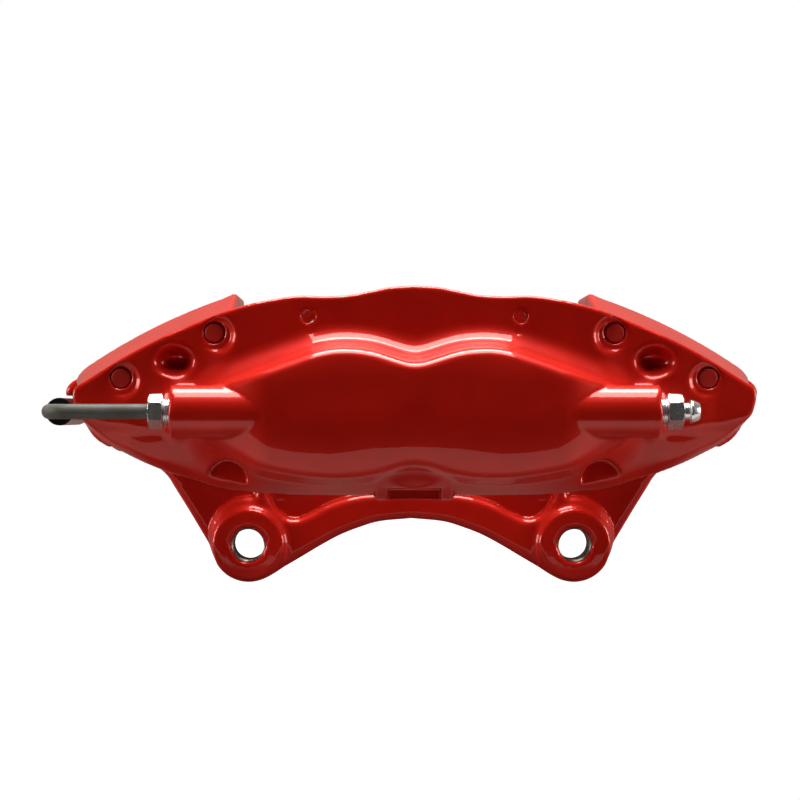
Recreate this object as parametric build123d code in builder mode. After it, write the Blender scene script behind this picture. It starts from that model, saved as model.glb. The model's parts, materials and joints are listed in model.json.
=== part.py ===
"""A split fixed brake caliper with four opposed pistons, built as its separate pieces.

X runs along the caliper, +Y points inboard and +Z away from the wheel centre. The origin lies midway
between the two mounting holes, on the machined inboard faces of the ears.
"""

import os
from math import sqrt

from build123d import *

os.makedirs("parts", exist_ok=True)

# Driving dimensions, mm
lug_spacing = 130.0
lug_boss_radius = 14.2
lug_hole_radius = 7.25
ear_thickness = 20.0
ear_web_thickness = 12.0
ear_web_back = 4.0
ear_top_z = 36.0
ear_top_reach = 98.0
ear_front_z = 27.0
ear_arch_radius = 70.0
ear_arch_top = 10.4
ear_pocket_depth = 5.0

insert_outer_radius = 7.2
insert_inner_radius = 6.2
insert_inset = 0.3

disc_y = -42.0
disc_z = -86.0
disc_radius = 165.0
disc_gap = 3.0

outboard, inboard = -1, 1
bore_face = 33.0
flange_thickness = 10.0
housing_depth = 63.0
port_depth = 53.0

piston_x = 27.0
piston_z = 52.0
piston_radius = 19.0
piston_length = 24.0
piston_wall = 3.5
piston_crown = 5.0
piston_rest = 4.0
lobe_wall = 4.6
running_gap = 0.05

bore_depth = 22.5
seal_depth = 6.0
seal_width = 3.0
seal_height = 2.4
boot_depth = 4.0
boot_height = 3.0
boot_gap = 0.35

window_x = 66.3
plate_thickness = 1.0
plate_inset = 1.0
plate_bottom = 70.5
plate_top = 90.0
plate_screw_z = 74.4
plate_screw_radius = 2.0
plate_screw_head = 3.2

port_z = 53.0
port_boss_radius = 9.5
port_face_x = 88.0
port_hole_radius = 4.6
port_thread_radius = 4.5
port_hole_length = 12.0
port_screw_end = 77.5
port_collar = 2.7
drilling_radius = 2.0

nut_flats = 11.0
nut_height = 5.2
tube_radius = 2.75
tube_bore = 1.9
tube_start = 79.0
tube_bend = 8.0
tube_run_x = -133.0
tube_notch_radius = 7.0
sleeve_radius = 5.2
sleeve_margin = 23.0

hex_height = 5.6
neck_radius = 3.3
neck_length = 2.5
barb_radius = 4.05
barb_tip_radius = 3.0
barb_length = 3.7
bleed_passage_radius = 1.0

bolt_places = [(73.2, 81.8), (107.4, 65.3)]
bolt_radius = 3.7
bolt_hole_radius = 3.95
bolt_head_radius = 6.5
bolt_head_height = 8.0
bolt_socket_flats = 6.0
spotface_radius = 5.2
spotface_depth = 1.2
head_recess_radius = 8.0
head_recess_depth = 1.0
bolt_edge = 0.6

pin_x = 38.8
pin_z = 87.8
pin_hole_radius = 2.55

dimple_x = 88.0
dimple_z = 72.0
dimple_sphere = 9.0
dimple_lift = 1.5
scallop_x = 68.6
scallop_z = 28.3
scallop_radius = 7.4
scallop_depth = 6.0

lip_reach = 14.6
lip_bottom = 20.6
lip_height = 15.0
lip_recess_reach = 9.7

dowel_x = 93.0
dowel_z = 70.0
dowel_radius = 3.0
dowel_length = 12.0

inlet_face_radius = 9.0
inlet_face_depth = 0.6

# The halves' outlines seen along the disc axis, as corners at +X
crown_z = -115.0
rim_crown = 216.0
joint_crown = 224.0
shoulder_x = 69.0
crest = [(0, 99.0), (24, 95.4), (44, 95.0)]
outlines = {
    outboard: {"crown": rim_crown, "nose": (125.5, 59.0), "heel": (117.5, 43.5), "foot": (70.0, 22.2)},
    inboard: {"crown": joint_crown, "nose": (138.0, 61.0), "heel": (127.0, 42.0), "foot": (72.0, 20.0)},
}
bridge_shape = {"nose": (129.0, 63.0), "heel": (119.5, 45.5), "foot": (70.0, 22.2)}
housing_top = 69.6
housing_bottom = 35.0
belly_reach = 56.0
belly_top = 43.8
belly_setback = 7.0


def outward(side, depth):
    """The plane parallel to the disc and `depth` from its middle, facing away from it."""
    return Plane(origin=(0, disc_y + side * depth, 0), x_dir=(-side, 0, 0), z_dir=(0, side, 0))


def port_plane(hand, side, reach):
    """The plane across a port at X = hand * reach, facing out of that end of the caliper."""
    centre = (hand * reach, disc_y + side * port_depth, port_z)
    return Plane(origin=centre, x_dir=(0, 1, 0), z_dir=(hand, 0, 0))


def both_hands(places):
    """Each place and its mirror image across X = 0."""
    return [(hand * x, z) for x, z in places for hand in (-1, 1)]


def corners(sketch, *places):
    """The vertices of a symmetrical sketch nearest to the places and to their mirror images."""
    return [sketch.vertices().sort_by_distance(place)[0] for place in both_hands(places)]


def on_crown(radius, x):
    """The height at X = x of the top surface whose radius is given."""
    return crown_z + sqrt(radius**2 - x**2)


def outer_face(solid, side):
    """The face of a solid that looks away from the disc."""
    return solid.faces().sort_by(Axis.Y)[-1 if side > 0 else 0]


def half_outline(shape, crown):
    """A half's outline, made in a sketch on an outward plane."""
    nose_top_x = shape["nose"][0] - 4.0
    middle_x = (shoulder_x + nose_top_x) / 2
    shoulder = (shoulder_x, on_crown(crown, shoulder_x))
    nose_top = (nose_top_x, on_crown(crown, nose_top_x))
    step = [(shoulder_x, on_crown(rim_crown, shoulder_x))] if crown > rim_crown else []
    with BuildLine() as outline:
        Polyline(*crest, *step, shoulder)
        ThreePointArc(shoulder, (middle_x, on_crown(crown, middle_x)), nose_top)
        Polyline(nose_top, shape["nose"], shape["heel"], shape["foot"], (0, shape["foot"][1]))
        mirror(about=Plane.YZ)
    make_face(outline.line)


def bridge_outline():
    """The two blocks that join the halves past the ends of the pads, seen along the disc axis."""
    half_outline(bridge_shape, joint_crown)
    with Locations((0, disc_z)):
        Circle(disc_radius + disc_gap, mode=Mode.SUBTRACT)
    with Locations((0, disc_z + disc_radius)):
        Rectangle(2 * (window_x + plate_thickness), 3 * disc_radius, mode=Mode.SUBTRACT)


def housing_outline():
    """The raised outer face: a lobe over each piston, running out to its port boss."""
    for hand in (-1, 1):
        with BuildSketch() as lobe:
            with Locations((hand * piston_x, piston_z)):
                Circle(piston_radius + lobe_wall)
            with Locations((hand * (port_face_x - port_boss_radius), port_z)):
                Circle(port_boss_radius)
            make_hull()
        add(lobe.sketch)
    with Locations((0, (housing_top + housing_bottom) / 2)):
        Rectangle(2 * piston_x, housing_top - housing_bottom)


def slope_bridges(side):
    """Cuts the bridges' top from the full crown at the joint down to the rim's crown."""
    with BuildSketch(Plane.YZ) as wedge:
        with BuildLine():
            Polyline(
                (disc_y, crown_z + joint_crown),
                (disc_y + side * bore_face, crown_z + rim_crown),
                (disc_y + side * bore_face, crown_z + joint_crown + 5),
                (disc_y, crown_z + joint_crown + 5),
                close=True,
            )
        make_face()
    revolve(wedge.sketch, axis=Axis((0, 0, crown_z), (0, 1, 0)), mode=Mode.SUBTRACT)


def cast_half(side):
    """The body of one half: its share of the bridges, its flange and its housing."""
    shape = outlines[side]
    with BuildSketch(outward(side, 0)) as bridges:
        bridge_outline()
        fillet(corners(bridges, bridge_shape["nose"]), 4)
        fillet(corners(bridges, bridge_shape["heel"]), 6)
    extrude(bridges.sketch, amount=bore_face)
    if side == outboard:
        slope_bridges(side)
    with BuildSketch(outward(side, bore_face)) as rim:
        half_outline(shape, shape["crown"])
        fillet(corners(rim, shape["nose"]), 4)
        fillet(corners(rim, shape["heel"]), 9)
        fillet(corners(rim, crest[1]), 20)
        fillet(rim.vertices().sort_by_distance(crest[0])[0], 30)
        fillet(corners(rim, crest[2]), 30)
    extrude(rim.sketch, amount=flange_thickness)
    with BuildSketch(outward(side, bore_face + flange_thickness)) as face:
        housing_outline()
        fillet(corners(face, (4, housing_top)), 8)
    housing = extrude(face.sketch, amount=housing_depth - bore_face - flange_thickness)
    fillet(outer_face(housing, side).edges(), 3.5)
    belly_centre = (shape["foot"][1] + belly_top) / 2
    with BuildSketch(outward(side, bore_face + flange_thickness)) as belly:
        with Locations((0, belly_centre)):
            Rectangle(2 * belly_reach, belly_top - shape["foot"][1])
    extrude(belly.sketch, amount=housing_depth - bore_face - flange_thickness - belly_setback)


def cut_bores(side):
    """Cuts the two piston bores with their seal grooves and dust boot seats."""
    for depth, length, radius in (
        (bore_face, bore_depth, piston_radius + running_gap),
        (bore_face, boot_depth, piston_radius + boot_height),
        (bore_face + seal_depth, seal_width, piston_radius + running_gap + seal_height),
    ):
        with BuildSketch(outward(side, depth)) as bore:
            with Locations((piston_x, piston_z), (-piston_x, piston_z)):
                Circle(radius)
        extrude(bore.sketch, amount=length, mode=Mode.SUBTRACT)


def cut_ports(side):
    """Cuts the two threaded ports and the drilling that joins them through both bores."""
    for hand in (-1, 1):
        with BuildSketch(port_plane(hand, side, port_face_x)) as port:
            Circle(port_hole_radius)
        extrude(port.sketch, amount=-port_hole_length, mode=Mode.SUBTRACT)
    with BuildSketch(port_plane(1, side, port_face_x - port_hole_length)) as drilling:
        Circle(drilling_radius)
    extrude(drilling.sketch, amount=-2 * (port_face_x - port_hole_length), mode=Mode.SUBTRACT)


def cut_round(side, depth, length, radius, places):
    """Cuts round holes outward from `depth` at the places and their mirror images."""
    with BuildSketch(outward(side, depth)) as holes:
        with Locations(*both_hands(places)):
            Circle(radius)
    extrude(holes.sketch, amount=length, mode=Mode.SUBTRACT)


def cut_shared_holes(side):
    """Cuts what both halves have: bolt, pad pin, dowel and abutment plate screw holes."""
    through = bore_face + flange_thickness + 1
    cut_round(side, 0, through, bolt_hole_radius, bolt_places)
    cut_round(side, 0, through, pin_hole_radius, [(pin_x, pin_z)])
    cut_round(side, 0, dowel_length / 2 + 0.3, dowel_radius + running_gap, [(dowel_x, dowel_z)])
    for hand in (-1, 1):
        centre = (hand * window_x, disc_y + side * bore_face / 2, plate_screw_z)
        with BuildSketch(Plane(origin=centre, x_dir=(0, 1, 0), z_dir=(hand, 0, 0))) as hole:
            Circle(plate_screw_radius + running_gap)
        extrude(hole.sketch, amount=8, mode=Mode.SUBTRACT)


# Outboard half
with BuildPart() as outboard_half:
    cast_half(outboard)
    rim_front = bore_face + flange_thickness
    with BuildSketch(outward(outboard, bore_face)) as lip:
        with Locations((0, lip_bottom + lip_height / 2)):
            Rectangle(2 * lip_reach, lip_height)
    extrude(lip.sketch, amount=housing_depth - bore_face - belly_setback - 3)
    with BuildSketch(outward(outboard, rim_front + 4)) as lip_recess:
        with Locations((0, lip_bottom + 2)):
            Rectangle(2 * lip_recess_reach, 8)
    extrude(lip_recess.sketch, amount=housing_depth, mode=Mode.SUBTRACT)
    cut_bores(outboard)
    cut_ports(outboard)
    cut_shared_holes(outboard)
    cut_round(outboard, rim_front - spotface_depth, housing_depth, spotface_radius, bolt_places)
    cut_round(outboard, rim_front - scallop_depth, housing_depth, scallop_radius, [(scallop_x, scallop_z)])
    for x, z in both_hands([(dimple_x, dimple_z)]):
        with Locations((x, disc_y - rim_front - dimple_lift, z)):
            Sphere(dimple_sphere, mode=Mode.SUBTRACT)
outboard_half.part.label = "outboard_half"
export_step(outboard_half.part, "parts/outboard_half.step")

# Inboard half, with the two mounting ears
with BuildPart() as inboard_half:
    cast_half(inboard)
    lug_places = [(lug_spacing / 2, 0)]
    lug_face = -disc_y
    with BuildSketch(outward(inboard, lug_face - ear_web_back - ear_web_thickness)) as web:
        with BuildSketch() as hull:
            with Locations(*both_hands(lug_places)):
                Circle(lug_boss_radius)
            with Locations((0, ear_top_z - 4)):
                Rectangle(2 * ear_top_reach, 8)
            make_hull()
        add(hull.sketch, mode=Mode.REPLACE)
        with Locations((0, ear_arch_top - ear_arch_radius)):
            Circle(ear_arch_radius, mode=Mode.SUBTRACT)
        fillet(corners(web, (52.8, -lug_boss_radius)), 6)
    extrude(web.sketch, amount=ear_web_thickness)
    with BuildSketch(outward(inboard, 0)) as pad_space:
        with Locations((0, ear_front_z + piston_radius)):
            Rectangle(2 * (window_x + plate_thickness), 2 * piston_radius)
    extrude(pad_space.sketch, amount=bore_face, mode=Mode.SUBTRACT)
    with BuildSketch(outward(inboard, lug_face - ear_thickness)) as bosses:
        with Locations(*both_hands(lug_places)):
            Circle(lug_boss_radius)
    extrude(bosses.sketch, amount=ear_thickness)
    with BuildSketch(outward(inboard, lug_face - ear_web_back - ear_web_thickness)) as pockets:
        for hand in (-1, 1):
            pocket = [(hand * x, z) for x, z in ((26, 19), (53, 19), (50, 9), (42, 6))]
            with BuildLine() as pocket_edge:
                Polyline(*pocket, close=True)
            make_face(pocket_edge.line)
        fillet(pockets.vertices(), 2.5)
    extrude(pockets.sketch, amount=ear_pocket_depth, mode=Mode.SUBTRACT)
    cut_round(inboard, lug_face - ear_thickness, ear_thickness, lug_hole_radius, lug_places)
    cut_bores(inboard)
    cut_ports(inboard)
    cut_shared_holes(inboard)
    cut_round(inboard, rim_front - head_recess_depth, housing_depth, head_recess_radius, bolt_places)
    cut_round(inboard, bore_face - 10, housing_depth, tube_notch_radius, [(-tube_run_x, port_z)])
    with BuildSketch(outward(inboard, port_depth)) as inlet:
        with Locations((0, port_z)):
            Circle(port_hole_radius)
    extrude(inlet.sketch, amount=housing_depth - port_depth, mode=Mode.SUBTRACT)
    with BuildSketch(outward(inboard, housing_depth - inlet_face_depth)) as inlet_face:
        with Locations((0, port_z)):
            Circle(inlet_face_radius)
    extrude(inlet_face.sketch, amount=inlet_face_depth, mode=Mode.SUBTRACT)
inboard_half.part.label = "inboard_half"
export_step(inboard_half.part, "parts/inboard_half.step")

# Bridge bolts, put in from the inboard side
with BuildPart() as bridge_bolts:
    with BuildSketch(outward(outboard, rim_front - spotface_depth - 0.1)) as shanks:
        with Locations(*both_hands(bolt_places)):
            Circle(bolt_radius)
    extrude(shanks.sketch, amount=-(2 * rim_front - spotface_depth - 0.1 - head_recess_depth))
    chamfer(bridge_bolts.edges().group_by(Axis.Y)[0], bolt_edge)
    with BuildSketch(outward(inboard, rim_front - head_recess_depth)) as heads:
        with Locations(*both_hands(bolt_places)):
            Circle(bolt_head_radius)
    extrude(heads.sketch, amount=bolt_head_height)
    fillet(bridge_bolts.edges().group_by(Axis.Y)[-1], bolt_edge)
    with BuildSketch(outward(inboard, rim_front - head_recess_depth + bolt_head_height)) as sockets:
        with Locations(*both_hands(bolt_places)):
            RegularPolygon(bolt_socket_flats / 2, 6, major_radius=False)
    extrude(sockets.sketch, amount=-bolt_head_height / 2, mode=Mode.SUBTRACT)
bridge_bolts.part.label = "bridge_bolts"
export_step(bridge_bolts.part, "parts/bridge_bolts.step")

# Dowels that line up the two halves
with BuildPart() as locating_dowels:
    with BuildSketch(outward(inboard, -dowel_length / 2)) as dowels:
        with Locations(*both_hands([(dowel_x, dowel_z)])):
            Circle(dowel_radius)
    extrude(dowels.sketch, amount=dowel_length)
locating_dowels.part.label = "locating_dowels"
export_step(locating_dowels.part, "parts/locating_dowels.step")

# Sleeves pressed into the ears for the mounting bolts
with BuildPart() as ear_inserts:
    with BuildSketch(outward(inboard, lug_face - ear_thickness + insert_inset)) as sleeves:
        with Locations(*both_hands(lug_places)):
            Circle(insert_outer_radius)
            Circle(insert_inner_radius, mode=Mode.SUBTRACT)
    extrude(sleeves.sketch, amount=ear_thickness - 2 * insert_inset)
ear_inserts.part.label = "ear_inserts"
export_step(ear_inserts.part, "parts/ear_inserts.step")

# Pistons, seals and dust boots, one set in each bore
side_names = {outboard: "outboard", inboard: "inboard"}
hand_names = {-1: "left", 1: "right"}

for side in (outboard, inboard):
    for hand in (-1, 1):
        place = f"{side_names[side]}_{hand_names[hand]}"
        centre = Location((hand * -side * piston_x, piston_z))
        piston_face = bore_face - piston_rest

        with BuildPart() as piston:
            with BuildSketch(outward(side, piston_face)) as barrel:
                with Locations(centre):
                    Circle(piston_radius)
            extrude(barrel.sketch, amount=piston_length)
            with BuildSketch(outward(side, piston_face)) as hollow:
                with Locations(centre):
                    Circle(piston_radius - piston_wall)
            extrude(hollow.sketch, amount=piston_length - piston_crown, mode=Mode.SUBTRACT)
            with BuildSketch(outward(side, piston_face + 1.5)) as lip_groove:
                with Locations(centre):
                    Circle(piston_radius + 1)
                    Circle(piston_radius - 1.2, mode=Mode.SUBTRACT)
            extrude(lip_groove.sketch, amount=2, mode=Mode.SUBTRACT)
            chamfer(piston.edges().filter_by(GeomType.CIRCLE).sort_by(Axis.Y)[0 if side < 0 else -1], 0.8)
        piston.part.label = f"piston_{place}"
        export_step(piston.part, f"parts/piston_{place}.step")

        with BuildPart() as seal:
            with BuildSketch(outward(side, bore_face + seal_depth + 0.05)) as ring:
                with Locations(centre):
                    Circle(piston_radius + running_gap + seal_height)
                    Circle(piston_radius + 0.03, mode=Mode.SUBTRACT)
            extrude(ring.sketch, amount=seal_width - 0.1)
        seal.part.label = f"piston_seal_{place}"
        export_step(seal.part, f"parts/piston_seal_{place}.step")

        with BuildPart() as boot:
            with BuildSketch(outward(side, bore_face - boot_height)) as bellows:
                with Locations(centre):
                    Circle(piston_radius + boot_height)
                    Circle(piston_radius + boot_gap, mode=Mode.SUBTRACT)
            extrude(bellows.sketch, amount=boot_height + boot_depth)
        boot.part.label = f"dust_boot_{place}"
        export_step(boot.part, f"parts/dust_boot_{place}.step")

# Abutment plates where the ends of the pads slide
for side in (outboard, inboard):
    for hand in (-1, 1):
        place = f"{side_names[side]}_{hand_names[hand]}"
        plate_y = disc_y + side * bore_face / 2
        with BuildPart() as plate:
            with BuildSketch(Plane.YZ.offset(hand * window_x)) as blank:
                with Locations((plate_y, (plate_bottom + plate_top) / 2)):
                    Rectangle(bore_face - 2 * plate_inset, plate_top - plate_bottom)
                fillet(blank.vertices(), 1.5)
                with Locations((plate_y, plate_screw_z)):
                    Circle(plate_screw_radius + 0.2, mode=Mode.SUBTRACT)
            extrude(blank.sketch, amount=hand * plate_thickness)
        plate.part.label = f"abutment_plate_{place}"
        export_step(plate.part, f"parts/abutment_plate_{place}.step")

with BuildPart() as plate_screws:
    for side in (outboard, inboard):
        for hand in (-1, 1):
            screw_place = (hand * window_x, disc_y + side * bore_face / 2, plate_screw_z)
            with BuildSketch(Plane(origin=screw_place, x_dir=(0, 1, 0), z_dir=(hand, 0, 0))) as shank:
                Circle(plate_screw_radius)
            extrude(shank.sketch, amount=7.5)
            with BuildSketch(Plane(origin=screw_place, x_dir=(0, 1, 0), z_dir=(-hand, 0, 0))) as head:
                Circle(plate_screw_head)
            extrude(head.sketch, amount=1.6, taper=15)
plate_screws.part.label = "plate_screws"
export_step(plate_screws.part, "parts/plate_screws.step")

# Crossover pipe from the outboard half round to the inboard half, at the left end
outboard_port_y = disc_y - port_depth
inboard_port_y = disc_y + port_depth
with BuildPart() as crossover_tube:
    with BuildLine() as tube_path:
        FilletPolyline(
            (-tube_start, outboard_port_y, port_z),
            (tube_run_x, outboard_port_y, port_z),
            (tube_run_x, inboard_port_y, port_z),
            (-tube_start, inboard_port_y, port_z),
            radius=tube_bend,
        )
    with BuildSketch(port_plane(-1, outboard, tube_start)) as tube_section:
        Circle(tube_radius)
        Circle(tube_bore, mode=Mode.SUBTRACT)
    sweep()
crossover_tube.part.label = "crossover_tube"
export_step(crossover_tube.part, "parts/crossover_tube.step")

with BuildPart() as crossover_sleeve:
    sleeve_start = outboard_port_y + tube_bend + sleeve_margin
    sleeve_end = inboard_port_y - tube_bend - sleeve_margin
    with BuildSketch(Plane(origin=(tube_run_x, sleeve_start, port_z), z_dir=(0, 1, 0))) as sleeve:
        Circle(sleeve_radius)
        Circle(tube_radius + running_gap, mode=Mode.SUBTRACT)
    extrude(sleeve.sketch, amount=sleeve_end - sleeve_start)
crossover_sleeve.part.label = "crossover_sleeve"
export_step(crossover_sleeve.part, "parts/crossover_sleeve.step")

for side in (outboard, inboard):
    with BuildPart() as tube_nut:
        with BuildSketch(port_plane(-1, side, port_screw_end)) as thread:
            Circle(port_thread_radius)
        extrude(thread.sketch, amount=port_face_x + port_collar - port_screw_end)
        with BuildSketch(port_plane(-1, side, port_face_x + port_collar)) as hexagon:
            RegularPolygon(nut_flats / 2, 6, major_radius=False, rotation=30)
        extrude(hexagon.sketch, amount=nut_height)
        with BuildSketch(port_plane(-1, side, port_screw_end)) as nut_bore:
            Circle(tube_radius + running_gap)
        extrude(nut_bore.sketch, amount=2 * port_hole_length, mode=Mode.SUBTRACT)
    tube_nut.part.label = f"{side_names[side]}_tube_nut"
    export_step(tube_nut.part, f"parts/{side_names[side]}_tube_nut.step")

# Bleed screws at the right end
for side in (outboard, inboard):
    with BuildPart() as bleed_screw:
        hex_start = port_face_x + port_collar
        neck_start = hex_start + hex_height
        barb_start = neck_start + neck_length
        with BuildSketch(port_plane(1, side, port_screw_end)) as thread:
            Circle(port_thread_radius)
        extrude(thread.sketch, amount=hex_start - port_screw_end)
        with BuildSketch(port_plane(1, side, hex_start)) as hexagon:
            RegularPolygon(nut_flats / 2, 6, major_radius=False, rotation=30)
        extrude(hexagon.sketch, amount=hex_height)
        with BuildSketch(port_plane(1, side, neck_start)) as neck:
            Circle(neck_radius)
        extrude(neck.sketch, amount=neck_length)
        with BuildSketch(port_plane(1, side, barb_start)) as barb_root:
            Circle(barb_radius)
        with BuildSketch(port_plane(1, side, barb_start + barb_length)) as barb_tip:
            Circle(barb_tip_radius)
        loft([barb_root.sketch, barb_tip.sketch])
        with BuildSketch(port_plane(1, side, barb_start + barb_length)) as passage:
            Circle(bleed_passage_radius)
        extrude(passage.sketch, amount=-(barb_start + barb_length - port_screw_end - 3), mode=Mode.SUBTRACT)
    bleed_screw.part.label = f"{side_names[side]}_bleed_screw"
    export_step(bleed_screw.part, f"parts/{side_names[side]}_bleed_screw.step")
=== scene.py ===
"""The brake caliper's looks.

Two smooth painted castings, threaded fittings and pleated boots stand for the CAD's plainer ones, and
every piece gets its own finish.
"""

import json
import math

import bmesh
import bpy
import numpy as np
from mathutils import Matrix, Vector


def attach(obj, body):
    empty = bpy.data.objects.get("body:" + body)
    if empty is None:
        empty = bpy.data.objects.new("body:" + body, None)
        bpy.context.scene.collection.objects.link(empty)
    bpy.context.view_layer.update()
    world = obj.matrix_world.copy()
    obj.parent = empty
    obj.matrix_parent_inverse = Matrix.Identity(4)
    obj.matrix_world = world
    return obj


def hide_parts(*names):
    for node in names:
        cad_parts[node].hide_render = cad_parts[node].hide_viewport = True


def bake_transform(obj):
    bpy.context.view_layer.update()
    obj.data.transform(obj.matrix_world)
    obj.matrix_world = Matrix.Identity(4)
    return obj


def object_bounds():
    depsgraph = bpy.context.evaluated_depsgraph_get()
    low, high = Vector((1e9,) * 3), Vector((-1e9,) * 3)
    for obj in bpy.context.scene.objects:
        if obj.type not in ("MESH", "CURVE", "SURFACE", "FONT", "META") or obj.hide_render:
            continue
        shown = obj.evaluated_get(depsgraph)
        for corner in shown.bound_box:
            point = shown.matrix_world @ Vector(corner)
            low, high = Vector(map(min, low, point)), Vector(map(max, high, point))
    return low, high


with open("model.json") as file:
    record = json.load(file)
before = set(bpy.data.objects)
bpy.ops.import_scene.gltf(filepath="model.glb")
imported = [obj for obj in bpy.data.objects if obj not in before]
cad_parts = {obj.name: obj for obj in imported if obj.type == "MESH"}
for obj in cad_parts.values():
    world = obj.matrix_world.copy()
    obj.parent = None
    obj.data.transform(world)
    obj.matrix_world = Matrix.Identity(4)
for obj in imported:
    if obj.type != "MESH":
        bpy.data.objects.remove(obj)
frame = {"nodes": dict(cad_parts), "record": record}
cad_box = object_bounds()
MM = 0.001

# The frame's own measures, in millimetres
DISC_Y = -42.0
PORT_Z = 53.0
PORT_DEPTH = 53.0
PORT_FACE_X = 88.0
BORE_FACE = 33.0
RIM_FRONT = 43.0
HOUSING_DEPTH = 63.0
PISTON_X, PISTON_Z = 27.0, 52.0
BORE_RADIUS = 19.05
CROWN_Z = -115.0
RIM_CROWN, JOINT_CROWN = 216.0, 224.0
DISC_Z, BRIDGE_UNDERSIDE = -86.0, 168.0
WINDOW_X = 67.3
BOLTS = [(73.2, 81.8), (107.4, 65.3)]
BOLT_SEAT, BOLT_HOLE = 41.8, 3.95
PIN_X, PIN_Z, PIN_HOLE = 38.8, 87.8, 2.55
PORT_HOLE, PORT_END_X = 4.6, 76.0
BORE_END, SEAT_END, SEAT_RADIUS = 55.5, 37.0, 22.0
SCALLOP_X, SCALLOP_Z, SCALLOP_RADIUS = 68.6, 28.3, 7.4
DIMPLE_X, DIMPLE_Z = 88.0, 71.4
LIP_RECESS_REACH = 9.7
TUBE_X, NOTCH_RADIUS = 133.0, 7.0
LUG_X, LUG_RADIUS = 65.0, 14.2
INLET_END, INLET_FACE = 53.0, 62.4


# Distance fields, in millimetres: negative inside


def round_union(a, b, r):
    """Joins two solids with a fillet of radius r in the corner between them."""
    return np.maximum(r, np.minimum(a, b)) - np.hypot(np.maximum(r - a, 0), np.maximum(r - b, 0))


def round_meet(a, b, r):
    """What two solids share, with its edge rounded to radius r."""
    return np.minimum(-r, np.maximum(a, b)) + np.hypot(np.maximum(r + a, 0), np.maximum(r + b, 0))


def round_cut(a, b, r):
    """Takes b away from a and rounds the edge it leaves to radius r."""
    return round_meet(a, -b, r)


def ease(value, low, high):
    """Runs smoothly from 0 at low to 1 at high."""
    t = np.clip((value - low) / (high - low), 0, 1)
    return t * t * (3 - 2 * t)


def curve_through(points, steps=8):
    """Points along a smooth curve through the given ones."""
    p = np.array(points, float)
    p = np.vstack([2 * p[0] - p[1], p, 2 * p[-1] - p[-2]])
    out = []
    for a, b, c, d in zip(p, p[1:], p[2:], p[3:]):
        for t in np.arange(steps) / steps:
            square, cube = 2 * a - 5 * b + 4 * c - d, 3 * b - a - 3 * c + d
            out.append(0.5 * (2 * b + (c - a) * t + square * t**2 + cube * t**3))
    return np.array(out + [p[-2]])


class Outline:
    """Signed distance to a closed outline that is its own mirror image across X = 0.

    It is given as its right half, from the top of the centre line round to the bottom, as stretches
    of points: each stretch is smooth and corners lie where two stretches meet. The distance is worked
    out once on a fine flat grid and read from that.
    """

    STEP = 0.3

    def __init__(self, *stretches, low=(-1.0, -22.0), high=(146.0, 110.0)):
        line = np.vstack([curve_through(s) for s in stretches])
        self.low = np.array(low)
        nx, nz = ((np.array(high) - self.low) / self.STEP).astype(int)
        x = (self.low[0] + self.STEP * np.arange(nx))[:, None]
        z = (self.low[1] + self.STEP * np.arange(nz))[None, :]
        x_right = np.abs(x)
        near = np.full((nx, nz), 1e9)
        odd = np.zeros((nx, nz), bool)
        for (ax, az), (bx, bz) in zip(line, line[1:]):
            ex, ez = bx - ax, bz - az
            size = ex * ex + ez * ez
            if size < 1e-12:
                continue
            t = np.clip(((x_right - ax) * ex + (z - az) * ez) / size, 0, 1)
            near = np.minimum(near, (x_right - ax - t * ex) ** 2 + (z - az - t * ez) ** 2)
            if ez:
                spans = (az > z) != (bz > z)
                odd ^= spans & (x_right < ax + (z - az) / ez * ex)
        self.grid = np.sqrt(near) * np.where(odd, -1, 1)

    def __call__(self, x, z):
        x, z = np.broadcast_arrays(x, z)
        u = np.clip((np.abs(x) - self.low[0]) / self.STEP, 0, self.grid.shape[0] - 1.001)
        v = np.clip((z - self.low[1]) / self.STEP, 0, self.grid.shape[1] - 1.001)
        i, j = u.astype(int), v.astype(int)
        u, v = u - i, v - j
        g = self.grid
        near = g[i, j] * (1 - u) + g[i + 1, j] * u
        far = g[i, j + 1] * (1 - u) + g[i + 1, j + 1] * u
        return near * (1 - v) + far * v


def rod(a, b, radius):
    """A round rod of endless length, by its two coordinates across."""
    return np.hypot(a, b) - radius


def slab(value, low, high):
    """What lies between two parallel planes."""
    return np.maximum(low - value, value - high)


# The painted castings


def crown_points(radius, first, last, count):
    """Points along the top surface from X = first to X = last."""
    return [(x, CROWN_Z + math.sqrt(radius**2 - x * x)) for x in np.linspace(first, last, count)]


CREST = [(0, 99.0), (9, 98.4), (16.5, 96.9), (24, 95.5), (33, 95.1), (43, 95.2), (54, 93.6)]
FOOT = [(92.0, 30.3), (76.6, 24.6), (68.6, 22.7), (60.7, 22.1), (40, 22.0), (0, 22.0)]
RIM_NOSE = [(124.2, 61.9), (125.2, 58.8), (124.0, 53.2), (121.6, 48.4), (118.8, 44.1)]
RIM_NOSE += [(115.3, 41.2), (107.2, 36.9)]
RIM = Outline(CREST + crown_points(RIM_CROWN, 64, 120, 7) + RIM_NOSE + FOOT)
BRIDGE_NOSE = [(127.6, 68.8), (129.8, 65.3), (129.4, 61.5), (126.9, 57.0), (124.0, 52.0)]
BRIDGE_NOSE += [(121.5, 48.0), (118.5, 44.8), (112, 41.0), (104, 37.0)]
BRIDGE = Outline(CREST + crown_points(JOINT_CROWN, 64, 124, 7) + BRIDGE_NOSE + FOOT)
FACE_TOP = [(0, 69.5), (4, 70.2), (9, 71.9), (15.5, 74.0), (22, 75.0)]
FACE_TOP += [(29, 75.0), (36, 73.6), (44, 70.8), (52.5, 67.7)]
FACE_END = [(60, 65.3), (67, 63.3), (73, 60.8), (78, 57), (79.5, 53), (78.5, 49), (76.5, 45.5)]
FACE_LOW = [(74, 42.5), (69.5, 40), (64, 37), (57, 33.6), (48, 31.4), (39, 29.9)]
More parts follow.
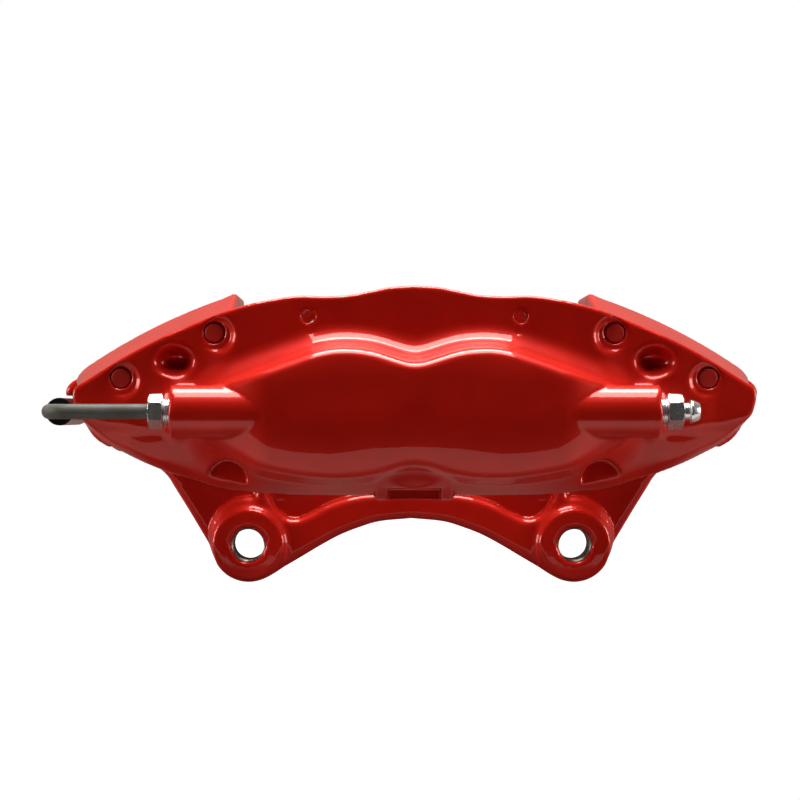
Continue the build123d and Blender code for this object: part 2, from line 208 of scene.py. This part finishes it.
FACE_LOW += [(30, 29.2), (21, 29.5), (13, 31), (6, 33.6), (0, 34.8)]
FACE = Outline(FACE_TOP + FACE_END + FACE_LOW)


def front_depth(x):
    """How far the outboard flange stands out: most in the middle, stepping down to each bolt."""
    hump = ease(x, 82, 92) * (1 - ease(x, 103, 112))
    return BOLT_SEAT + 0.1 + 2.4 * (1 - ease(x, 67, 79)) + 1.4 * hump


def pillow(x, z):
    """How far the housing's face stands out: flat in the middle and rolling back above and below."""
    start = 55.3 - np.minimum(x * x / 280, 3) + np.maximum(x - 32, 0) ** 2 / 150
    below = np.clip(start - z, 0, 40)
    above = np.maximum(z - 66 + x * x / 610, 0)
    roll = 50 - np.sqrt(50**2 - below**2)
    return HOUSING_DEPTH - roll - above**2 / 90 - 0.03 * above - 8 * ease(x, 52, 77)


def skirt_draft(face, rim, z):
    """How the housing's sides lean: steeply above, and as far as the rim below."""
    below = np.clip((face - rim) / (HOUSING_DEPTH - BORE_FACE - 1), 0.2, 0.8)
    return below + (0.24 - below) * ease(z, 42, 56)


def housing_and_ports(face, rim, x, z, d):
    """The raised housing with its two port bosses, before the flange is joined to it."""
    draft = skirt_draft(face, rim, z)
    top = pillow(x, z)
    sides = (face - (top - d) * draft) / np.hypot(1, draft)
    housing = round_meet(sides, d - top, 2.2)
    housing = round_meet(housing, rim, 1.5)
    boss = round_meet(rod(z - PORT_Z, d - PORT_DEPTH, 9.5), x - PORT_FACE_X, 0.8)
    web = np.maximum(np.abs(z - PORT_Z) - 7, slab(d, 30, PORT_DEPTH))
    web = round_meet(web, x - PORT_FACE_X + 1.5, 1)
    return round_union(housing, np.minimum(boss, web), 0.01 + 2.5 * ease(x, 62, 80))


def cut_works(body, x, z, d):
    """Takes the piston bores, boot seats and ports out of a casting."""
    bore = np.maximum(rod(x - PISTON_X, z - PISTON_Z, BORE_RADIUS), d - BORE_END)
    seat = np.maximum(rod(x - PISTON_X, z - PISTON_Z, SEAT_RADIUS), d - SEAT_END)
    port = np.maximum(rod(z - PORT_Z, d - PORT_DEPTH, PORT_HOLE), PORT_END_X - x)
    return np.maximum(body, -np.minimum(np.minimum(bore, seat), port))


def outboard_field(x, z, d, left):
    """The outboard casting at X = +-x, at height z and at depth d outward from the disc's middle.

    Both its ends are the same, so left makes no difference here.
    """
    # x is blunted near 0 so that the housing's dip has no crease along the centre line
    rim, face = RIM(x, z), FACE(np.hypot(x, 2.5), z)
    # flange, whose lower part leans back to the rim, with the lip in the middle of its foot
    rim = rim - 1.5 * (1 - ease(x, 13.2, 15.4)) * (1 - ease(z, 24, 34))
    lean = 1.5
    lip = 1 - ease(x, 13, 16)
    lean_depth = BORE_FACE + 1 + 6 * ease(x, 80, 105) + 2.5 * lip
    lower = (rim + (d - lean_depth) * lean) / math.hypot(1, lean)
    lower = lower - 60 * ease(z - 0.4 * x, 20, 45) - 20 * ease(z, 44, 60)
    front = front_depth(x)
    flange = round_meet(rim, d - front, 1.2)
    flange = round_meet(flange, lower, 5 + 5 * ease(x, 85, 110) - 3.8 * lip)
    body = round_union(flange, housing_and_ports(face, rim, x, z, d), 7)
    recess = np.maximum(np.maximum(x - LIP_RECESS_REACH, 34.4 - d), slab(z, 21.2, 25.0))
    body = round_cut(body, recess, 0.3)
    body = np.maximum(body, BORE_FACE - d)
    # bridges
    wide = BRIDGE(x, z)
    bridge = wide + (rim - wide) * np.clip(d / BORE_FACE, 0, 1)
    bridge = round_meet(bridge, WINDOW_X - x, 2.5)
    bridge = round_meet(bridge, BRIDGE_UNDERSIDE - np.hypot(x, z - DISC_Z), 2)
    bridge = np.maximum(bridge, slab(d, 0, 33.4))
    body = np.minimum(body, bridge)
    # bolt pockets, dimples, scallops, pin holes and their seats
    for bx, bz in BOLTS:
        pocket = (rod(x - bx + 0.5, z - bz + 0.8, 5.4) - 0.8 * (d - BOLT_SEAT)) / 1.28
        body = round_cut(body, np.maximum(pocket, BOLT_SEAT - d), 0.9)
        body = np.maximum(body, -rod(x - bx, z - bz, BOLT_HOLE))
    across, up, inward = (x - DIMPLE_X) / 6.4, (z - DIMPLE_Z) / 4.9, (d - front) / 5.6
    dimple = np.sqrt(across**2 + up**2 + inward**2) * 5 - 5
    body = round_cut(body, dimple, 2.6)
    scallop = np.maximum(rod(x - SCALLOP_X, z - SCALLOP_Z, SCALLOP_RADIUS), 37 - d)
    body = round_cut(body, scallop, 0.6)
    pin_seat = round_meet(rod(x - PIN_X, z - PIN_Z, 7.4), front + 0.12 - d, 1.5)
    body = np.maximum(body, -pin_seat)
    body = np.maximum(body, -rod(x - PIN_X, z - PIN_Z, PIN_HOLE))
    return cut_works(body, x, z, d)


def surface(field, low, high, step):
    """Points and faces of a field's zero surface between low and high, on both sides of X = 0."""
    axes = [np.arange(a, b + step, step) for a, b in zip(low, high)]
    axes[0] = step * (np.arange(math.ceil(high[0] / step)) + 0.5)
    x, d, z = axes
    room = np.zeros((len(x), len(d), len(z)))
    spots = x[:, None, None], z[None, None, :], d[None, :, None]
    left, right = field(*spots, True) + room, field(*spots, False) + room
    values = np.concatenate([left[::-1], right]).astype(np.float64)
    x = np.concatenate([-x[::-1], x])
    axes = [x, d, z]
    inside = values < 0
    shape = np.array(values.shape) - 1
    stride = np.array([shape[1] * shape[2], shape[2], 1])
    total = int(np.prod(shape))
    sums, counts, quads = np.zeros((3, total)), np.zeros(total), []
    for axis in range(3):
        along = np.moveaxis(inside, axis, 0)
        crossed = np.moveaxis(along[1:] != along[:-1], 0, axis)
        at = np.argwhere(crossed)
        across = [k for k in range(3) if k != axis]
        keep = np.all((at[:, across] > 0) & (at[:, across] < shape[across]), axis=1)
        at = at[keep]
        step_on = np.eye(3, dtype=int)[axis]
        f0 = values[tuple(at.T)]
        f1 = values[tuple((at + step_on).T)]
        point = np.stack([axes[k][at[:, k]] for k in range(3)], axis=1)
        point[:, axis] += step * f0 / (f0 - f1)
        cells = []
        for da, db in ((0, 0), (1, 0), (1, 1), (0, 1)):
            cell = at.copy()
            cell[:, across[0]] -= da
            cell[:, across[1]] -= db
            index = cell @ stride
            cells.append(index)
            counts += np.bincount(index, minlength=total)
            for k in range(3):
                sums[k] += np.bincount(index, weights=point[:, k], minlength=total)
        quad = np.stack(cells, axis=1)
        turn = (f0 < 0) ^ (axis == 1)
        quad[~turn] = quad[~turn][:, ::-1]
        quads.append(quad)
    used = np.flatnonzero(counts)
    number = np.zeros(total, int)
    number[used] = np.arange(len(used))
    points = (sums[:, used] / counts[used]).T
    faces = number[np.concatenate(quads)]
    for _ in range(3):
        points = onto(field, points, step)
    return points, faces


def onto(field, points, step):
    """Moves points onto the field's zero surface, by at most half a step."""
    eps = 0.02

    def value(p):
        return field(np.abs(p[:, 0]), p[:, 2], p[:, 1], p[:, 0] < 0)

    rises = [value(points + e) - value(points - e) for e in np.eye(3) * eps]
    slope = np.stack(rises, axis=1) / (2 * eps)
    size = np.maximum((slope**2).sum(axis=1), 0.05)
    move = -(value(points) / size)[:, None] * slope
    far = np.linalg.norm(move, axis=1)
    return points + move * np.minimum(1, 0.5 * step / np.maximum(far, 1e-9))[:, None]


def casting(name, field, side, low, high, step):
    """A casting's mesh object from its field."""
    points, faces = surface(field, low, high, step)
    place = np.stack([points[:, 0], DISC_Y + side * points[:, 1], points[:, 2]], axis=1) * MM
    if side < 0:
        faces = faces[:, ::-1]
    mesh = bpy.data.meshes.new(name)
    mesh.from_pydata(place.tolist(), [], faces.tolist())
    mesh.polygons.foreach_set("use_smooth", np.ones(len(mesh.polygons), bool))
    mesh.update()
    obj = bpy.data.objects.new(name, mesh)
    bpy.context.scene.collection.objects.link(obj)
    return obj


INBOARD_CREST_END, INBOARD_SHOULDER = (69.3, 90.2), (69.5, 97.9)
INBOARD_NOSE = [(135.0, 64.8), (137.3, 61.2), (136.2, 57.2), (133.2, 51.6), (128.9, 47.4), (123, 41.9)]
INBOARD_FOOT = [(116.5, 37.4), (107, 32.6), (90, 26.0), (76, 22.0), (64, 20.2), (50, 20), (0, 20)]
INBOARD_RIM = Outline(
    CREST + [(61, 92.2), INBOARD_CREST_END],
    [INBOARD_CREST_END, INBOARD_SHOULDER],
    crown_points(JOINT_CROWN, 69.5, 129, 8) + INBOARD_NOSE + INBOARD_FOOT,
)
EAR_OUTER = [(0, 36), (60, 36), (100.5, 36)]
EAR_SIDE = [(100.5, 36), (98.3, 28.0), (89.3, 13.0), (80.1, -2.4)]
LUG_ANGLES = np.radians(np.arange(-33, -112, -15))
EAR_LUG = [(LUG_X + LUG_RADIUS * math.cos(a), LUG_RADIUS * math.sin(a)) for a in LUG_ANGLES]
EAR_ARCH = [(58.6, -12.7), (52.3, -9.8), (44.3, -5.2), (36.4, -0.5)]
EAR_ARCH += [(28.4, 3.8), (20.5, 6.9), (12.5, 9.2), (0, 10.4)]
EAR = Outline(EAR_OUTER, EAR_SIDE + EAR_LUG + EAR_ARCH)
INNER_SIDE = [(59, 44), (59, 30), (58, 22), (55, 15.6), (50.6, 11.4)]
INNER_FOOT = [(46, 10.3), (40, 12.6), (31.6, 16.8), (19.7, 19.9), (0, 21)]
INNER_POCKET = Outline([(0, 44), (59, 44)], INNER_SIDE + INNER_FOOT)
OUTER_POCKET = [(62.6, 44), (62.6, 12), (70, 0), (84, -10), (112, -10), (112, 44)]


def convex(corners, x, z):
    """Distance to a convex flat shape whose corners run anticlockwise."""
    sides = []
    for (ax, az), (bx, bz) in zip(corners, corners[1:] + corners[:1]):
        ex, ez = bx - ax, bz - az
        sides.append(((x - ax) * ez - (z - az) * ex) / math.hypot(ex, ez))
    out = sides[0]
    for s in sides[1:]:
        out = round_meet(out, s, 3)
    return out


def inboard_field(x, z, d, left):
    """The inboard casting, with its mounting ears and the notch for the pipe at its left end."""
    rim, face = INBOARD_RIM(x, z), FACE(x, z)
    flange = round_meet(rim, d - RIM_FRONT, 1.5)
    body = round_union(flange, housing_and_ports(face, rim, x, z, d), 7)
    body = np.maximum(body, BORE_FACE - d)
    # bridges, and the wider lobes behind them
    bridge = np.maximum(BRIDGE(x, z), slab(d, 0, 36))
    lobe = round_meet(rim, slab(d, 20, 36), 2)
    bridge = np.minimum(bridge, lobe)
    bridge = round_meet(bridge, WINDOW_X - x, 2.5)
    bridge = round_meet(bridge, BRIDGE_UNDERSIDE - np.hypot(x, z - DISC_Z), 2)
    body = np.minimum(body, bridge)
    # ears
    ear = EAR(x, z)
    raised = round_meet(ear, slab(d, 25, 39), 2.5)
    outer_pocket = round_cut(convex(OUTER_POCKET, x, z), rod(x - LUG_X, z - 2.5, 16.5), 1)
    pocket = np.minimum(INNER_POCKET(x, z), outer_pocket)
    raised = round_cut(raised, np.maximum(pocket, d - 31), 3)
    pad_space = np.maximum(np.maximum(x - WINDOW_X, 27 - z), d - BORE_FACE)
    lug = round_meet(rod(x - LUG_X, z, LUG_RADIUS), slab(d, 22, 42), 0.8)
    ears = round_union(raised, lug, 3)
    ears = round_cut(ears, pad_space, 1)
    body = round_union(body, ears, 3)
    # holes
    hole = rod(x - LUG_X, z, 6.3)
    sink = (rod(x - LUG_X, z, 7.6) + (np.minimum(d - 22, 42 - d))) / 1.414
    middle = np.maximum(rod(x - LUG_X, z, 7.25), slab(d, 23.6, 40.4))
    body = np.maximum(body, -np.minimum(np.minimum(hole, sink), middle))
    for bx, bz in BOLTS:
        body = round_cut(body, np.maximum(rod(x - bx, z - bz, 8.0), RIM_FRONT - 1 - d), 0.6)
        body = np.maximum(body, -rod(x - bx, z - bz, BOLT_HOLE))
    body = np.maximum(body, -rod(x - PIN_X, z - PIN_Z, PIN_HOLE))
    notch = np.maximum(rod(x - TUBE_X, z - PORT_Z, NOTCH_RADIUS), 18 - d)
    body = np.where(left, round_cut(body, notch, 0.8), body)
    inlet = np.maximum(rod(x, z - PORT_Z, PORT_HOLE), INLET_END - d)
    inlet_face = np.maximum(rod(x, z - PORT_Z, 9.0), INLET_FACE - d)
    return cut_works(np.maximum(body, -np.minimum(inlet, inlet_face)), x, z, d)


# Finishes


def material(name):
    """A new node material, with its nodes, links and main shader."""
    mat = bpy.data.materials.new(name)
    mat.use_nodes = True
    nodes, links = mat.node_tree.nodes, mat.node_tree.links
    return mat, nodes, links, nodes["Principled BSDF"]


def noise(nodes, links, scale, detail=2.0):
    """A noise in the object's own coordinates, in features per metre."""
    place = nodes.new("ShaderNodeTexCoord")
    tex = nodes.new("ShaderNodeTexNoise")
    tex.inputs["Scale"].default_value = scale
    tex.inputs["Detail"].default_value = detail
    links.new(place.outputs["Object"], tex.inputs["Vector"])
    return tex.outputs["Fac"]


def ramp(nodes, links, source, low, high, first=0.3, last=0.7):
    """A colour or grey that runs from low to high as the source goes from first to last."""
    r = nodes.new("ShaderNodeValToRGB")
    r.color_ramp.elements[0].position, r.color_ramp.elements[1].position = first, last
    for element, value in zip(r.color_ramp.elements, (low, high)):
        element.color = (*value, 1) if isinstance(value, tuple) else (value, value, value, 1)
    links.new(source, r.inputs["Fac"])
    return r.outputs["Color"]


def bump(nodes, links, height, strength, distance):
    """A bump from a height."""
    b = nodes.new("ShaderNodeBump")
    b.inputs["Strength"].default_value = strength
    b.inputs["Distance"].default_value = distance
    links.new(height, b.inputs["Height"])
    return b.outputs["Normal"]


PAINT_LOW, PAINT_HIGH = (0.43, 0.007, 0.0025), (0.50, 0.0095, 0.0035)


def paint():
    """Candy red lacquer: a faintly metallic base under a clear coat with a little orange peel."""
    mat, nodes, links, shader = material("caliper_paint")
    tone = ramp(nodes, links, noise(nodes, links, 60), PAINT_LOW, PAINT_HIGH)
    links.new(tone, shader.inputs["Base Color"])
    links.new(ramp(nodes, links, noise(nodes, links, 900), 0.38, 0.48), shader.inputs["Roughness"])
    shader.inputs["Metallic"].default_value = 0.25
    shader.inputs["Coat Weight"].default_value = 0.7
    shader.inputs["Coat Roughness"].default_value = 0.03
    shader.inputs["Coat IOR"].default_value = 1.45
    shader.inputs["Specular IOR Level"].default_value = 0.12
    peel = bump(nodes, links, noise(nodes, links, 420, 1.0), 0.05, 0.0003)
    links.new(peel, shader.inputs["Coat Normal"])
    return mat


def metal(name, low, high, rough_low, rough_high, scale=500, strength=0.1, metallic=1.0):
    """A bare or plated metal with uneven tone, roughness and a fine surface."""
    mat, nodes, links, shader = material(name)
    grain = noise(nodes, links, scale, 3.0)
    shader.inputs["Metallic"].default_value = metallic
    links.new(ramp(nodes, links, noise(nodes, links, 90, 3.0), low, high), shader.inputs["Base Color"])
    links.new(ramp(nodes, links, grain, rough_low, rough_high), shader.inputs["Roughness"])
    links.new(bump(nodes, links, grain, strength, 0.0002), shader.inputs["Normal"])
    return mat


def plastic(name, low, high, rough_low, rough_high, scale=700, strength=0.1, specular=0.5):
    """A moulded or coated surface."""
    mat, nodes, links, shader = material(name)
    grain = noise(nodes, links, scale, 3.0)
    shader.inputs["Specular IOR Level"].default_value = specular
    links.new(ramp(nodes, links, noise(nodes, links, 120, 3.0), low, high), shader.inputs["Base Color"])
    links.new(ramp(nodes, links, grain, rough_low, rough_high), shader.inputs["Roughness"])
    links.new(bump(nodes, links, grain, strength, 0.0002), shader.inputs["Normal"])
    return mat


def painted_bolt():
    """Dark bolt steel, under red paint where it comes out on the outboard face."""
    mat, nodes, links, shader = material("bolt_steel")
    place = nodes.new("ShaderNodeTexCoord")
    parts = nodes.new("ShaderNodeSeparateXYZ")
    links.new(place.outputs["Object"], parts.inputs["Vector"])
    bare = nodes.new("ShaderNodeMath")
    bare.operation = "GREATER_THAN"
    bare.inputs[1].default_value = (DISC_Y - BORE_FACE) * MM
    links.new(parts.outputs["Y"], bare.inputs[0])
    steel = ramp(nodes, links, noise(nodes, links, 90, 3.0), (0.10, 0.10, 0.11), (0.20, 0.20, 0.21))
    red = ramp(nodes, links, noise(nodes, links, 60), (0.30, 0.006, 0.003), (0.38, 0.009, 0.004))
    tone = nodes.new("ShaderNodeMix")
    tone.data_type = "RGBA"
    links.new(bare.outputs[0], tone.inputs["Factor"])
    links.new(red, tone.inputs[6])
    links.new(steel, tone.inputs[7])
    links.new(tone.outputs[2], shader.inputs["Base Color"])
    links.new(bare.outputs[0], shader.inputs["Metallic"])
    grain = noise(nodes, links, 500, 3.0)
    links.new(ramp(nodes, links, grain, 0.35, 0.5), shader.inputs["Roughness"])
    links.new(bump(nodes, links, grain, 0.1, 0.0002), shader.inputs["Normal"])
    return mat


FINISHES = {
    "caliper_paint": paint(),
    "zinc_plate": metal(
        "zinc_plate", (0.70, 0.73, 0.76), (0.80, 0.82, 0.84), 0.24, 0.28, strength=0.01, metallic=0.9
    ),
    "bolt_steel": painted_bolt(),
    "insert_steel": metal("insert_steel", (0.16, 0.15, 0.14), (0.26, 0.25, 0.24), 0.3, 0.5),
    "stainless_plate": metal(
        "stainless_plate", (0.58, 0.57, 0.55), (0.68, 0.67, 0.64), 0.26, 0.32, strength=0.01
    ),
    "piston_metal": metal("piston_metal", (0.42, 0.43, 0.45), (0.55, 0.56, 0.58), 0.25, 0.4),
    "seal_rubber": plastic("seal_rubber", (0.02, 0.02, 0.02), (0.035, 0.035, 0.035), 0.4, 0.55),
    "boot_rubber": plastic("boot_rubber", (0.012, 0.012, 0.013), (0.025, 0.025, 0.026), 0.5, 0.7),
    "tube_coating": plastic(
        "tube_coating", (0.06, 0.06, 0.055), (0.10, 0.10, 0.092), 0.44, 0.54, specular=0.2
    ),
    "sleeve_rubber": plastic("sleeve_rubber", (0.006, 0.006, 0.006), (0.012, 0.012, 0.012), 0.12, 0.22),
}


def dress_nodes():
    """Gives every CAD node the finish its slot names."""
    slots = {s["node"]: s["material_slot"] for s in frame["record"]["subparts"]}
    for name, obj in frame["nodes"].items():
        obj.data.materials.clear()
        obj.data.materials.append(FINISHES[slots[name]])


dress_nodes()
outboard_casting = casting("outboard_casting", outboard_field, -1, (0, -2, 16), (131, 66, 106), 0.9)
inboard_casting = casting("inboard_casting", inboard_field, 1, (0, -2, -16), (141, 66, 106), 1.0)


# Turned pieces

HEX_FLATS = 11.0
SIDES = {"outboard": -1, "inboard": 1}
HANDS = {"left": -1, "right": 1}


def turned(name, rings, spot, axis, sense, flats=(), steps=72, closed=False):
    """A turned piece from rings of (along, radius), six-sided between the two places in flats."""
    angles = np.arange(steps) * 2 * math.pi / steps
    hexagon = HEX_FLATS / 2 / np.cos((angles + math.pi / 6) % (math.pi / 3) - math.pi / 6)
    points = []
    for along, radius in rings:
        r = np.full(steps, float(radius))
        if flats and flats[0] <= along <= flats[1]:
            r = np.minimum(r, hexagon)
        line = np.full(steps, sense * along)
        across = r * np.cos(angles)
        both = (line, across) if axis == "X" else (across, line)
        points.append(np.stack([*both, r * np.sin(angles)], axis=1) + spot)
    count = len(rings)
    faces = []
    for i in range(count if closed else count - 1):
        for j in range(steps):
            k, n = (j + 1) % steps, (i + 1) % count
            faces.append((i * steps + j, i * steps + k, n * steps + k, n * steps + j))
    if not closed:
        faces.append(tuple(range(steps)))
        faces.append(tuple(range((count - 1) * steps, count * steps)))
    mesh = bpy.data.meshes.new(name)
    mesh.from_pydata((np.concatenate(points) * MM).tolist(), [], faces)
    shape = bmesh.new()
    shape.from_mesh(mesh)
    bmesh.ops.recalc_face_normals(shape, faces=shape.faces)
    shape.to_mesh(mesh)
    shape.free()
    mesh.polygons.foreach_set("use_smooth", np.ones(len(mesh.polygons), bool))
    mesh.set_sharp_from_angle(angle=math.radians(32))
    obj = bpy.data.objects.new(name, mesh)
    bpy.context.scene.collection.objects.link(obj)
    return obj


def stand_for(piece, node, slot):
    """Puts a detailed piece in a CAD node's place."""
    piece.data.materials.append(FINISHES[slot])
    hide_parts(node)


def thread(start, root, tip, pitch, count):
    """Rings of a thread's turns."""
    out = []
    for k in range(count):
        a = start + pitch * k
        out += [(a, root), (a + 0.3 * pitch, tip), (a + 0.55 * pitch, tip), (a + 0.85 * pitch, root)]
    return out


def hexed(start, end):
    """Rings of a hexagon with both its ends chamfered."""
    rise = np.linspace(0, 1, 6)
    near = [(start + 0.5 * t, HEX_FLATS / 2 + 0.9 * t) for t in rise]
    far = [(end - 0.5 * t, HEX_FLATS / 2 + 0.9 * t) for t in rise[::-1]]
    return near + far


def port_fittings():
    """The pipe nuts at the left end and the bleed screws at the right end."""
    stem = [(77.5, 3.9), (78.1, 4.5), (88.0, 4.5)] + thread(88.1, 4.35, 4.95, 0.86, 3)
    for side, sign in SIDES.items():
        spot = np.array([0, DISC_Y + sign * PORT_DEPTH, PORT_Z])
        nut = [(77.5, 2.82)] + stem + hexed(90.7, 95.9) + [(95.9, 4.6), (95.6, 3.4), (95.6, 2.82)]
        piece = turned(f"{side}_pipe_nut", nut, spot, "X", -1, flats=(90.69, 95.91), closed=True)
        stand_for(piece, f"{side}_tube_nut", "zinc_plate")
        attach(piece, "caliper_body")
        neck = [(96.3, 4.4), (96.5, 3.5), (96.9, 3.1), (98.4, 3.1), (98.8, 3.4)]
        barb = [(98.9, 3.9), (99.1, 4.15), (99.6, 4.2), (100.0, 4.1)]
        barb += [(101.9, 3.3), (102.3, 3.0), (102.5, 2.6)]
        passage = [(102.5, 1.3), (102.2, 1.0), (80.5, 1.0)]
        screw = stem + hexed(90.7, 96.3) + neck + barb + passage
        piece = turned(f"{side}_bleeder", screw, spot, "X", 1, flats=(90.69, 96.31))
        stand_for(piece, f"{side}_bleed_screw", "zinc_plate")
        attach(piece, f"{side}_bleed_screw")


def threaded_inserts():
    """The thread inserts in the mounting ears, as one piece."""
    ribs = thread(24.1, 6.75, 6.15, 1.5, 10)
    rings = [(23.8, 7.15), (23.8, 6.6)] + ribs + [(40.2, 6.6), (40.2, 7.15)]
    pieces = [
        turned("ear_threads", rings, np.array([hand * LUG_X, DISC_Y, 0]), "Y", 1, closed=True)
        for hand in HANDS.values()
    ]
    with bpy.context.temp_override(active_object=pieces[0], selected_editable_objects=pieces):
        bpy.ops.object.join()
    stand_for(pieces[0], "ear_inserts", "insert_steel")
    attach(pieces[0], "caliper_body")


def dust_boots():
    """A pleated boot round each piston, from its seat in the casting to the piston's lip."""
    outer = [(36.6, 21.9), (33.6, 21.9), (33.1, 21.3)]
    pleats = [(32.9 - 0.3 * k, 20.9 if k % 2 else 19.9) for k in range(8)]
    lip = [(30.75, 19.9), (30.7, 18.9), (30.7, 18.0)]
    back = [(31.6, 18.0), (31.6, 19.2)] + [(d + 0.55, r - 0.35) for d, r in pleats[::-1]]
    rings = outer + pleats + lip + back + [(34.0, 20.6), (36.6, 20.6)]
    for side, sign in SIDES.items():
        for hand, way in HANDS.items():
            place = f"{side}_{hand}"
            spot = np.array([way * PISTON_X, DISC_Y, PISTON_Z])
            piece = turned(f"boot_{place}", rings, spot, "Y", sign, closed=True)
            stand_for(piece, f"dust_boot_{place}", "boot_rubber")
            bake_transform(piece)


for casting_piece, node in ((outboard_casting, "outboard_half"), (inboard_casting, "inboard_half")):
    stand_for(casting_piece, node, "caliper_paint")
    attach(casting_piece, "caliper_body")
port_fittings()
threaded_inserts()
dust_boots()


# Camera, floor and light

LENS_MM, SENSOR_MM = 90.0, 36.0
camera_data = bpy.data.cameras.new("camera")
camera_data.lens, camera_data.sensor_width = LENS_MM, SENSOR_MM
camera_data.shift_x, camera_data.shift_y = 0.03, 0.0175
camera = bpy.data.objects.new("camera", camera_data)
camera.location = (-0.0141, -0.815, 0.0521)
camera.rotation_euler = (math.radians(90), 0, 0)
bpy.context.scene.collection.objects.link(camera)
bpy.context.scene.camera = camera
bpy.context.scene.view_settings.view_transform = "Standard"


FLOOR_EDGE_Y = -0.18
FLOOR_SHADE_START_Y, FLOOR_SHADE_END_Y = -0.13, -0.088
FLOOR_DROP = 0.0012
FLOOR_LIGHT = 0.35
FLOOR_TONE = 0.25
WARM_WHITE = (1, 0.86, 0.70, 1)
RED_BOUNCE = (1, 0.10, 0.06, 1)
WHITE = (1, 1, 1, 1)


def floor():
    """A pale lit floor just under the ears, white to the eye.

    It throws light up from behind its edge. Near the casting that light is weaker and redder: painted
    shade where the casting's shadow falls, and painted red bounce light from the red paint onto a white
    floor.
    """
    mesh = bpy.data.meshes.new("floor")
    reach, level = 6.0, cad_box[0][2] - FLOOR_DROP
    mesh.from_pydata(
        [(-reach, -reach, level), (reach, -reach, level), (reach, reach, level), (-reach, reach, level)],
        [],
        [(0, 1, 2, 3)],
    )
    obj = bpy.data.objects.new("floor", mesh)
    mat, nodes, links, shader = material("floor_white")
    place = nodes.new("ShaderNodeTexCoord")
    parts = nodes.new("ShaderNodeSeparateXYZ")
    links.new(place.outputs["Object"], parts.inputs["Vector"])
    near = nodes.new("ShaderNodeMath")
    near.operation = "GREATER_THAN"
    near.inputs[1].default_value = FLOOR_EDGE_Y
    links.new(parts.outputs["Y"], near.inputs[0])
    # painted shade: the floor's glow drops near the casting, where the casting's shadow would fall
    casting_shade = nodes.new("ShaderNodeMapRange")
    span = {"From Min": FLOOR_SHADE_START_Y, "From Max": FLOOR_SHADE_END_Y, "To Min": 1.0, "To Max": 0.0}
    for socket, value in span.items():
        casting_shade.inputs[socket].default_value = value
    links.new(parts.outputs["Y"], casting_shade.inputs["Value"])
    kept = nodes.new("ShaderNodeMath")
    kept.operation = "MULTIPLY_ADD"
    links.new(casting_shade.outputs[0], kept.inputs[0])
    kept.inputs[1].default_value, kept.inputs[2].default_value = 0.6, 0.4
    lit = nodes.new("ShaderNodeMath")
    lit.operation = "MULTIPLY"
    links.new(near.outputs[0], lit.inputs[0])
    links.new(kept.outputs[0], lit.inputs[1])
    path = nodes.new("ShaderNodeLightPath")
    glow = nodes.new("ShaderNodeMix")
    links.new(path.outputs["Is Camera Ray"], glow.inputs["Factor"])
    glow.inputs[3].default_value = 1.0
    dim = nodes.new("ShaderNodeMath")
    dim.operation = "MULTIPLY"
    dim.inputs[1].default_value = FLOOR_LIGHT
    links.new(lit.outputs[0], dim.inputs[0])
    links.new(dim.outputs[0], glow.inputs[2])
    links.new(glow.outputs[0], shader.inputs["Emission Strength"])
    tint = nodes.new("ShaderNodeMix")
    tint.data_type = "RGBA"
    links.new(path.outputs["Is Camera Ray"], tint.inputs["Factor"])
    # painted red bounce light on the floor's glow near the casting
    bounce = nodes.new("ShaderNodeMix")
    bounce.data_type = "RGBA"
    links.new(casting_shade.outputs[0], bounce.inputs["Factor"])
    bounce.inputs[6].default_value = RED_BOUNCE
    bounce.inputs[7].default_value = WARM_WHITE
    links.new(bounce.outputs[2], tint.inputs[6])
    tint.inputs[7].default_value = WHITE
    links.new(tint.outputs[2], shader.inputs["Emission Color"])
    tone = nodes.new("ShaderNodeMath")
    tone.operation = "MULTIPLY"
    tone.inputs[1].default_value = FLOOR_TONE
    links.new(lit.outputs[0], tone.inputs[0])
    links.new(tone.outputs[0], shader.inputs["Base Color"])
    shader.inputs["Roughness"].default_value = 0.9
    shader.inputs["Specular IOR Level"].default_value = 0.0
    obj.data.materials.append(mat)
    bpy.context.scene.collection.objects.link(obj)


LAMP_COLOUR = (1, 0.95, 0.88)
OVERHEAD_HEIGHT, OVERHEAD_SIZE = 1.15, (0.7, 0.46)


def lamp(name, place, aim, size, power):
    """A soft, slightly warm rectangular light."""
    data = bpy.data.lights.new(name, "AREA")
    data.shape = "RECTANGLE"
    data.size, data.size_y = size
    data.energy = power
    data.color = LAMP_COLOUR
    obj = bpy.data.objects.new(name, data)
    obj.location = place
    obj.rotation_euler = (Vector(aim) - Vector(place)).to_track_quat("-Z", "Y").to_euler()
    bpy.context.scene.collection.objects.link(obj)


FRONT_DARK, BACK_PALE = (0.006, 0.006, 0.006), (0.30, 0.27, 0.235)


def sky():
    """A studio that is black on the outboard side, pale behind, and white to the eye."""
    world = bpy.data.worlds.new("studio")
    bpy.context.scene.world = world
    world.use_nodes = True
    nodes, links = world.node_tree.nodes, world.node_tree.links
    background = nodes["Background"]
    place = nodes.new("ShaderNodeTexCoord")
    parts = nodes.new("ShaderNodeSeparateXYZ")
    links.new(place.outputs["Generated"], parts.inputs["Vector"])
    shade = ramp(nodes, links, parts.outputs["Y"], FRONT_DARK, BACK_PALE, 0.02, 0.4)
    path = nodes.new("ShaderNodeLightPath")
    seen = nodes.new("ShaderNodeMix")
    seen.data_type = "RGBA"
    links.new(path.outputs["Is Camera Ray"], seen.inputs["Factor"])
    links.new(shade, seen.inputs[6])
    seen.inputs[7].default_value = WHITE
    links.new(seen.outputs[2], background.inputs["Color"])


floor()
for name, y, power in (("overhead_near", -0.36, 12.5), ("overhead_far", 0.13, 25.0)):
    lamp(name, (0, y, OVERHEAD_HEIGHT), (0, y, 0), OVERHEAD_SIZE, power)
for name, x in (("side_left", -1.1), ("side_right", 1.1)):
    lamp(name, (x, -0.25, 0.25), (0, -0.08, 0.05), (0.5, 0.5), 8.0)
sky()
